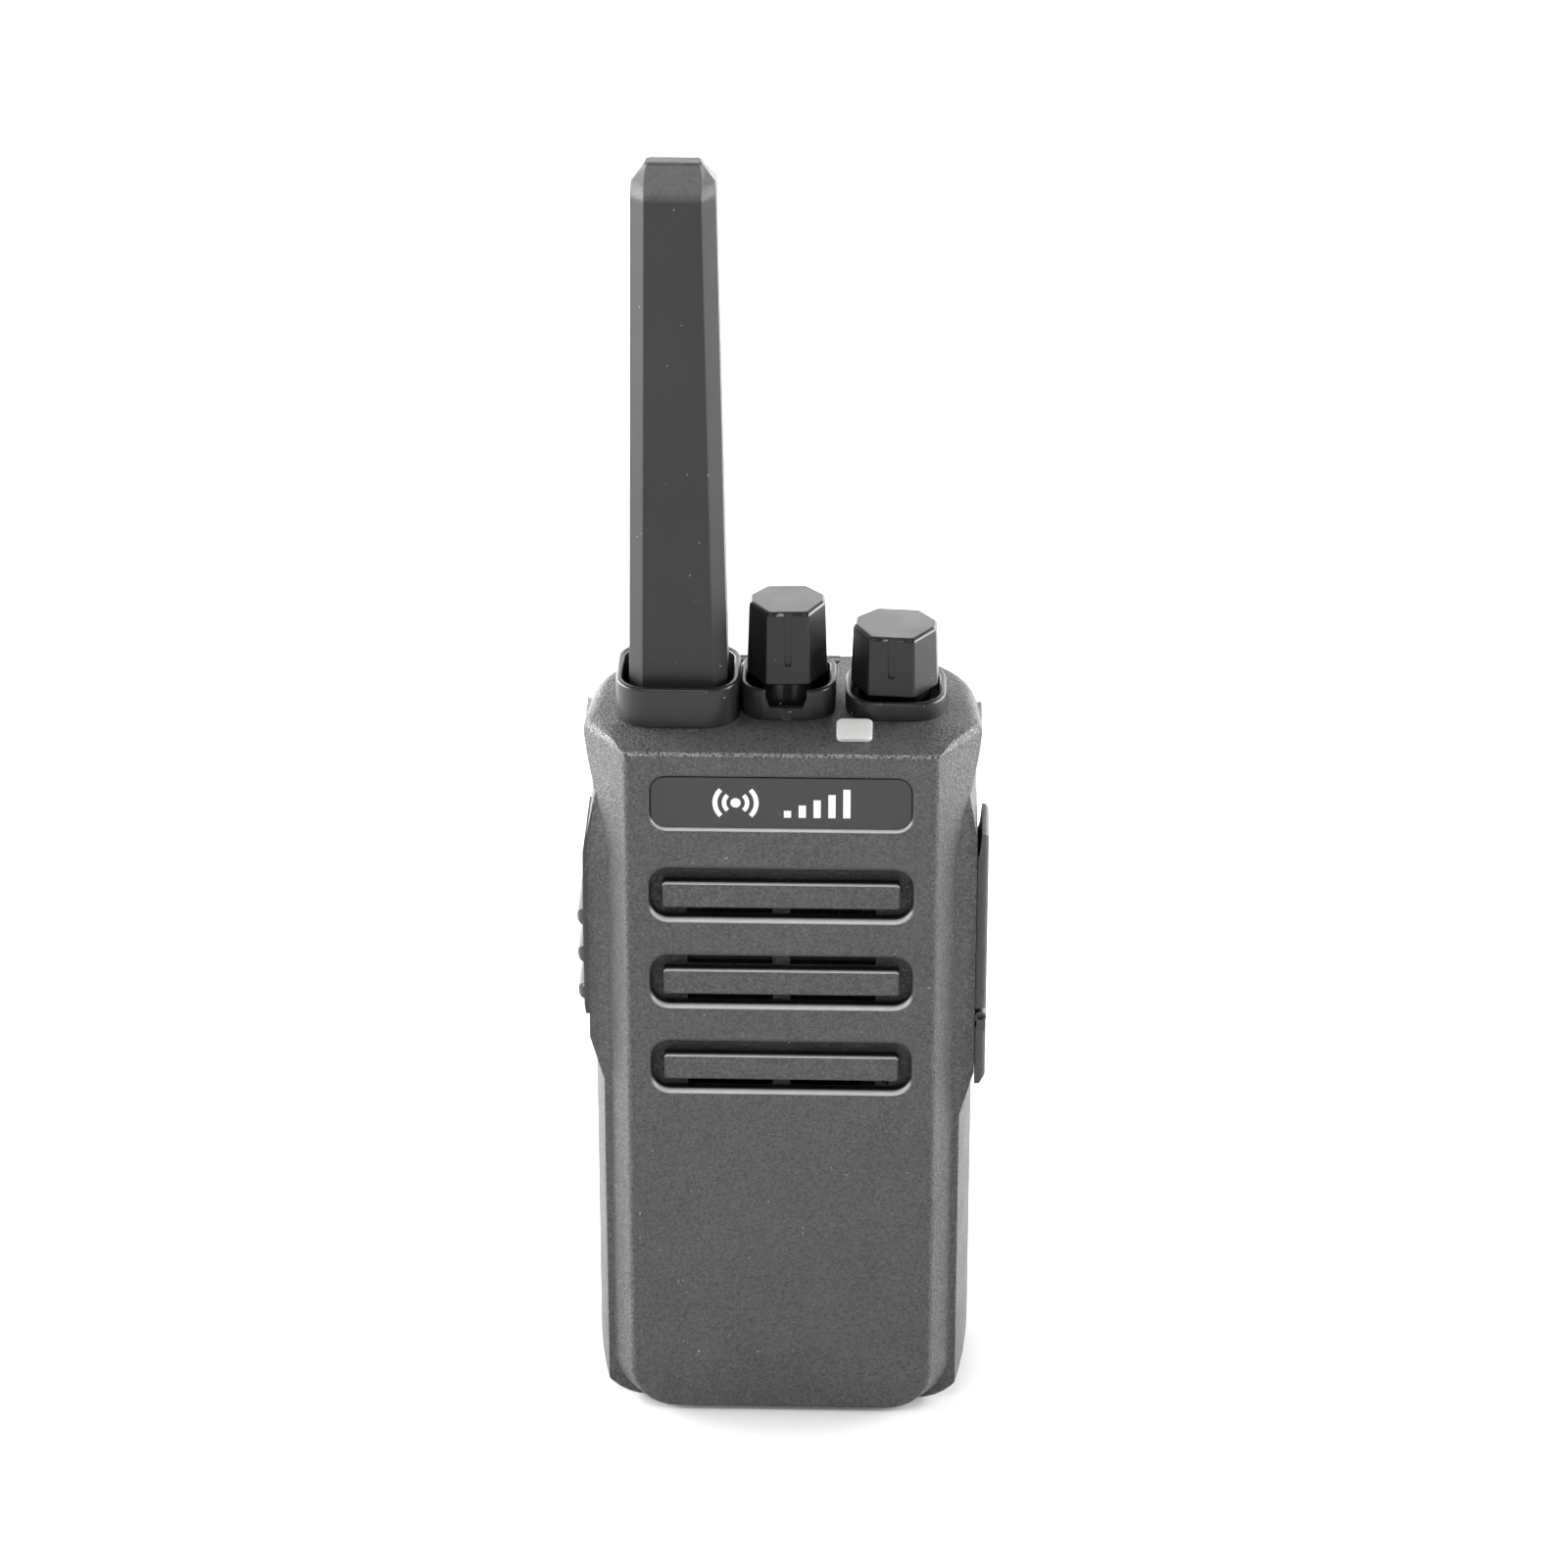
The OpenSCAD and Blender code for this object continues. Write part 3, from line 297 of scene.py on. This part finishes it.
def grained(name, dark, light, rough=(0.42, 0.56), shine=0.5, depth=0.15, scale=2800, grille=None):
    """
    Plastic with a moulded leather grain, depth mm deep. Its colour has painted shade in the grain's pits, and is
    lighter on the ridges, partly as scuffing and partly as painted sheen. In the box grille, whatever doesn't face
    forwards is smooth, its upward lips carry a painted highlight, and its depths are painted black as shade; the
    upward edge just above the box carries a painted highlight.
    """
    n = Nodes(name)
    wrinkle = n.ramp(n.noise(scale, 3, 0.5, 0.8), 0, 1, (0.42, 0.58))
    pebble = n.ramp(n.noise(scale * 0.5, 2, 0.5, 0.6), 0, 1, (0.36, 0.64))
    grain = n.math("ADD", n.times(wrinkle, 0.7), n.times(pebble, 0.3))
    # Colour follows the grain: painted shade darkens its pits, and its ridges are lighter, partly scuffing and
    # partly painted sheen; a broad mottle of tone is mixed in.
    grain_shade_and_mottle = n.math("ADD", n.times(grain, 0.75), n.times(n.noise(60, 4, 0.6), 0.25))
    colour = n.colours(grain_shade_and_mottle, dark, light)
    gloss = n.uneven_gloss(rough)
    if grille:
        (x0, y0, z0), (x1, y1, z1) = grille
        x, y, z = n.split()
        turned_y, turned_z = n.split("Normal")[1:]
        inside = n.times(n.within(x, x0, x1), n.within(y, y0, y1), n.within(z, z0, z1))
        smooth = n.times(inside, n.ramp(turned_y, 0, 1, (-0.97, -0.9)))
        # Upward lips inside the grille get pale tones: a painted highlight.
        painted_lip_highlight = n.times(smooth, n.ramp(turned_z, 0, 1, (0.2, 0.5)))
        # The grille's depths are painted near black: painted shade.
        painted_depth_shade = n.times(inside, n.ramp(y, 0, 1, (y0 + 0.45 * MM, y0 + 0.9 * MM)))
        # The upward edge just above the grille gets pale tones where the grain rises: a painted highlight.
        painted_brow_highlight = n.times(n.within(z, z1, z1 + 4 * MM), n.within(y, y0 - MM, y0 + 0.8 * MM),
                       n.ramp(turned_z, 0, 1, (0.25, 0.6)))
        middle = [0.5 * (a + b) for a, b in zip(dark, light)]
        grain = n.times(grain, n.math("SUBTRACT", 1, smooth))
        colour = n.blend(smooth, colour, n.colours(n.noise(300, 3), [0.7 * c for c in middle], middle))
        # Painted highlight on the grille's upward lips.
        colour = n.blend(painted_lip_highlight, colour, n.colours(n.noise(600, 4), (0.32, 0.32, 0.32), (0.48, 0.48, 0.48)))
        # Painted highlight on the upward edge above the grille.
        colour = n.blend(n.times(painted_brow_highlight, wrinkle), colour,
                         n.colours(n.noise(600, 4), (0.2, 0.2, 0.2), (0.34, 0.34, 0.34)))
        # Painted shade in the grille's depths.
        colour = n.blend(painted_depth_shade, colour,
                         n.colours(n.noise(300, 3), (0.004, 0.004, 0.004), (0.008, 0.008, 0.008)))
        gloss = n.mixed(smooth, gloss, n.ramp(n.noise(300, 4), 0.32, 0.4))
    n.dusted(colour, light)
    n.link(gloss, n.shader.inputs["Roughness"])
    n.shader.inputs["Specular IOR Level"].default_value = shine
    n.bump(n.math("ADD", grain, n.times(n.noise(4200, 1), 0.1)), depth * MM)
    return n.material


def metal(name, colour, rough=(0.3, 0.45), brushed=False):
    """Metal with fine scratches and a mottled gloss."""
    n = Nodes(name)
    n.link(n.colours(n.noise(120, 4, 0.6), [0.75 * c for c in colour], colour), n.shader.inputs["Base Color"])
    scratch = n.noise(900, 3, 0.6, 0.2, (1, 1, 14) if brushed else None)
    n.link(n.ramp(scratch, *rough, (0.3, 0.7)), n.shader.inputs["Roughness"])
    n.shader.inputs["Metallic"].default_value = 1
    n.bump(scratch, 0.003 * MM)
    return n.material


def milky(name, colour):
    """Cloudy plastic that light enters a little."""
    n = Nodes(name)
    n.link(n.colours(n.noise(400, 3), [0.9 * c for c in colour], colour), n.shader.inputs["Base Color"])
    n.shader.inputs["Subsurface Weight"].default_value = 0.6
    n.shader.inputs["Subsurface Radius"].default_value = (1.0, 1.0, 0.9)
    n.shader.inputs["Subsurface Scale"].default_value = 1.2 * MM
    n.link(n.ramp(n.noise(300, 4), 0.12, 0.26), n.shader.inputs["Roughness"])
    n.bump(n.noise(1800, 2), 0.003 * MM)
    return n.material


def grille_box():
    """The box round the speaker slots and the nameplate's recess, from just behind the face inwards."""
    mesh, face_y, plate_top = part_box("speaker_mesh"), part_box("front_housing")[0][1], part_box("nameplate")[1][2]
    middle = 0.5 * (mesh[0][2] + mesh[1][2])
    return ((-21.5 * MM, face_y + 0.02 * MM, middle - 21 * MM),
            (21.5 * MM, face_y + 3.4 * MM, plate_top + 1.6 * MM))


GRAINED = {
    "housing": dict(dark=(0.005, 0.005, 0.0055), light=(0.076, 0.076, 0.077), shine=0.72,
                    grille=grille_box()),
    "chassis": dict(dark=(0.012, 0.012, 0.0125), light=(0.044, 0.044, 0.045)),
    "battery_case": dict(dark=(0.012, 0.012, 0.0125), light=(0.044, 0.044, 0.045)),
    "button": dict(dark=(0.02, 0.02, 0.02), light=(0.05, 0.05, 0.05), rough=(0.4, 0.55), depth=0.02,
                   scale=4200),
    "cover": dict(dark=(0.02, 0.02, 0.02), light=(0.05, 0.05, 0.05), rough=(0.36, 0.5), depth=0.025,
                  scale=4000),
    "clip": dict(dark=(0.018, 0.018, 0.018), light=(0.042, 0.042, 0.042), rough=(0.36, 0.48), depth=0.03,
                 scale=3600),
}
PLASTICS = {
    "seal": dict(dark=(0.02, 0.02, 0.02), light=(0.04, 0.04, 0.04), rough=(0.6, 0.75)),
    "collar": dict(dark=(0.01, 0.01, 0.011), light=(0.018, 0.018, 0.019), rough=(0.28, 0.38), shine=0.38),
    "nameplate": dict(dark=(0.024, 0.024, 0.026), light=(0.034, 0.034, 0.036), rough=(0.3, 0.38), shine=0.4,
                      fine=(2600, 0.002)),
    # The antenna's upward faces, the bevels of its tip among them, are painted lighter: painted top light.
    "antenna": dict(dark=(0.024, 0.024, 0.025), light=(0.036, 0.036, 0.037), rough=(0.36, 0.44), shine=0.2,
                    fine=(3600, 0.012), painted_top_light=((0.06, 0.06, 0.06), (0.13, 0.13, 0.13)), facing=(0.1, 0.5)),
    # The knob tops are painted lighter: painted top light.
    "knob": dict(dark=(0.006, 0.006, 0.007), light=(0.012, 0.012, 0.013), rough=(0.28, 0.36), shine=0.34,
                 fine=(3000, 0.006), painted_top_light=((0.04, 0.04, 0.04), (0.06, 0.06, 0.06))),
    "plunger": dict(dark=(0.05, 0.05, 0.052), light=(0.09, 0.09, 0.09), rough=(0.5, 0.6)),
    "board": dict(dark=(0.008, 0.05, 0.02), light=(0.015, 0.09, 0.035), rough=(0.3, 0.45)),
    "chip": dict(dark=(0.01, 0.01, 0.01), light=(0.02, 0.02, 0.02)),
    "control": dict(dark=(0.04, 0.045, 0.04), light=(0.08, 0.085, 0.08)),
    "former": dict(dark=(0.55, 0.53, 0.48), light=(0.7, 0.68, 0.62), rough=(0.5, 0.6)),
    "cone": dict(dark=(0.015, 0.014, 0.013), light=(0.03, 0.028, 0.026), rough=(0.7, 0.85),
                 fine=(2000, 0.03)),
    "cloth": dict(dark=(0.004, 0.004, 0.004), light=(0.01, 0.01, 0.01), rough=(0.8, 0.9), fine=(3000, 0.05)),
    "cell": dict(dark=(0.02, 0.05, 0.14), light=(0.04, 0.09, 0.2), rough=(0.35, 0.5)),
    "print": dict(dark=(0.78, 0.78, 0.77), light=(0.86, 0.86, 0.85), rough=(0.45, 0.55), fine=(2600, 0.001)),
}
METALS = {
    "speaker_metal": dict(colour=(0.5, 0.5, 0.52)),
    "can": dict(colour=(0.7, 0.71, 0.73), brushed=True),
    "nut": dict(colour=(0.62, 0.62, 0.6)),
    "brass": dict(colour=(0.72, 0.55, 0.27)),
    "copper": dict(colour=(0.72, 0.36, 0.2)),
    "steel": dict(colour=(0.34, 0.34, 0.35), rough=(0.38, 0.52), brushed=True),
    "spring_steel": dict(colour=(0.3, 0.3, 0.31), rough=(0.4, 0.52)),
    "dark_steel": dict(colour=(0.06, 0.06, 0.063), rough=(0.4, 0.55)),
    "screw": dict(colour=(0.1, 0.1, 0.105), rough=(0.35, 0.5)),
    "gold": dict(colour=(0.33, 0.22, 0.075), rough=(0.3, 0.55)),
}
MILKY = {
    "lens": dict(colour=(0.68, 0.68, 0.665)),
    "led": dict(colour=(0.85, 0.78, 0.45)),
}


def make_materials():
    """Every material by its name, which is also the record's material slot."""
    kinds = ((grained, GRAINED), (plastic, PLASTICS), (metal, METALS), (milky, MILKY))
    return {name: make(name, **look) for make, looks in kinds for name, look in looks.items()}


# ---- Pieces made from the CAD solids ----
# Degrees: faces that turn less than the first are one flat face, and edges above the second stay sharp
FLAT_ANGLE, SHARP_ANGLE = 0.6, 32.0
SMOOTH_SHELLS = ("front_housing", "antenna_sheath", "antenna_collar", "channel_collar", "volume_collar",
                 "channel_knob", "volume_knob")


def put(name, bm, body, material):
    """A new piece from a bmesh, riding on a body."""
    mesh = bpy.data.meshes.new(name)
    bm.to_mesh(mesh)
    bm.free()
    piece = link_new(name, mesh)
    mesh.materials.append(material)
    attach(piece, body)
    return piece


def shell(node, slot):
    """A welded copy of a CAD node that shades smoothly over its rounded edges. It stands for the node."""
    source = frame["nodes"][node]
    bm = bmesh.new()
    bm.from_mesh(source.data)
    bmesh.ops.remove_doubles(bm, verts=bm.verts, dist=0.002 * MM)
    bmesh.ops.dissolve_limit(bm, angle_limit=math.radians(FLAT_ANGLE), verts=bm.verts, edges=bm.edges)
    piece = put(node + "_shell", bm, source["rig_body"], materials[slot])
    piece.data.shade_smooth()
    piece.data.set_sharp_from_angle(angle=math.radians(SHARP_ANGLE))
    level = piece.modifiers.new("flat_faces_stay_flat", "WEIGHTED_NORMAL")
    level.mode, level.weight, level.keep_sharp = "FACE_AREA", 100, True
    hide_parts(node)
    return piece


def make_latch_spring():
    """The latch's coil spring, as a smooth shell with a mesh of its own."""
    piece = shell("latch_spring", "spring_steel")
    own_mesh(piece)


# ---- The nameplate's print, in mm from the middle of the plate ----
SIGN_X, DOT_R = -6.6, 0.75
# Each wave of the sign: its inner and outer radius, and its half angle in degrees
WAVES = ((1.35, 2.0, 46), (2.65, 3.35, 44))
BARS, BARS_X, BARS_Z = 5, 0.4, -2.3
BAR_W, BAR_PITCH, BAR_SHORTEST, BAR_GROWTH = 1.05, 2.15, 1.1, 0.875
PRINT_ABOVE, PRINT_BELOW = 0.03, 0.01  # the print stands on the plate's face, and reaches a little into it


def arc_band(inner, outer, middle, spread, steps=14):
    """Outline of a curved stroke between two radii, spread degrees to each side of the angle middle."""
    turns = [math.radians(middle - spread + 2 * spread * i / steps) for i in range(steps + 1)]
    return ([(outer * math.cos(a), outer * math.sin(a)) for a in turns]
            + [(inner * math.cos(a), inner * math.sin(a)) for a in reversed(turns)])


def mark_outlines():
    """A generic sign of radio waves on both sides of a dot, and five rising bars, all counterclockwise."""
    dot = [(DOT_R * math.cos(a), DOT_R * math.sin(a)) for a in (math.tau * i / 24 for i in range(24))]
    bands = [arc_band(inner, outer, side, spread) for side in (0, 180) for inner, outer, spread in WAVES]
    sign = [[(x + SIGN_X, z) for x, z in outline] for outline in [dot] + bands]
    bars = []
    for i in range(BARS):
        left, top = BARS_X + BAR_PITCH * i, BARS_Z + BAR_SHORTEST + BAR_GROWTH * i
        bars.append([(left, BARS_Z), (left + BAR_W, BARS_Z), (left + BAR_W, top), (left, top)])
    return sign + bars


def make_mark():
    """The print as thin raised solids on the nameplate."""
    low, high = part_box("nameplate")
    middle_z, face_y = 0.5 * (low[2] + high[2]), low[1]
    bm = bmesh.new()
    for outline in mark_outlines():
        near = [bm.verts.new((x * MM, face_y - PRINT_ABOVE * MM, middle_z + z * MM)) for x, z in outline]
        far = [bm.verts.new((x * MM, face_y + PRINT_BELOW * MM, middle_z + z * MM)) for x, z in outline]
        bm.faces.new(near)
        bm.faces.new(far[::-1])
        for i in range(len(outline)):
            j = (i + 1) % len(outline)
            bm.faces.new((near[j], near[i], far[i], far[j]))
    put("nameplate_mark", bm, "radio", materials["print"])


# ---- The scene ----
make_camera()
make_studio()
make_floor()
materials = make_materials()
slots = {part["node"]: part["material_slot"] for part in frame["record"]["subparts"]}
for node, solid in frame["nodes"].items():
    solid.data.materials.clear()
    solid.data.materials.append(materials["dark_steel" if node == "cover_pin" else slots[node]])
for node in SMOOTH_SHELLS:
    shell(node, slots[node])
make_latch_spring()
make_mark()
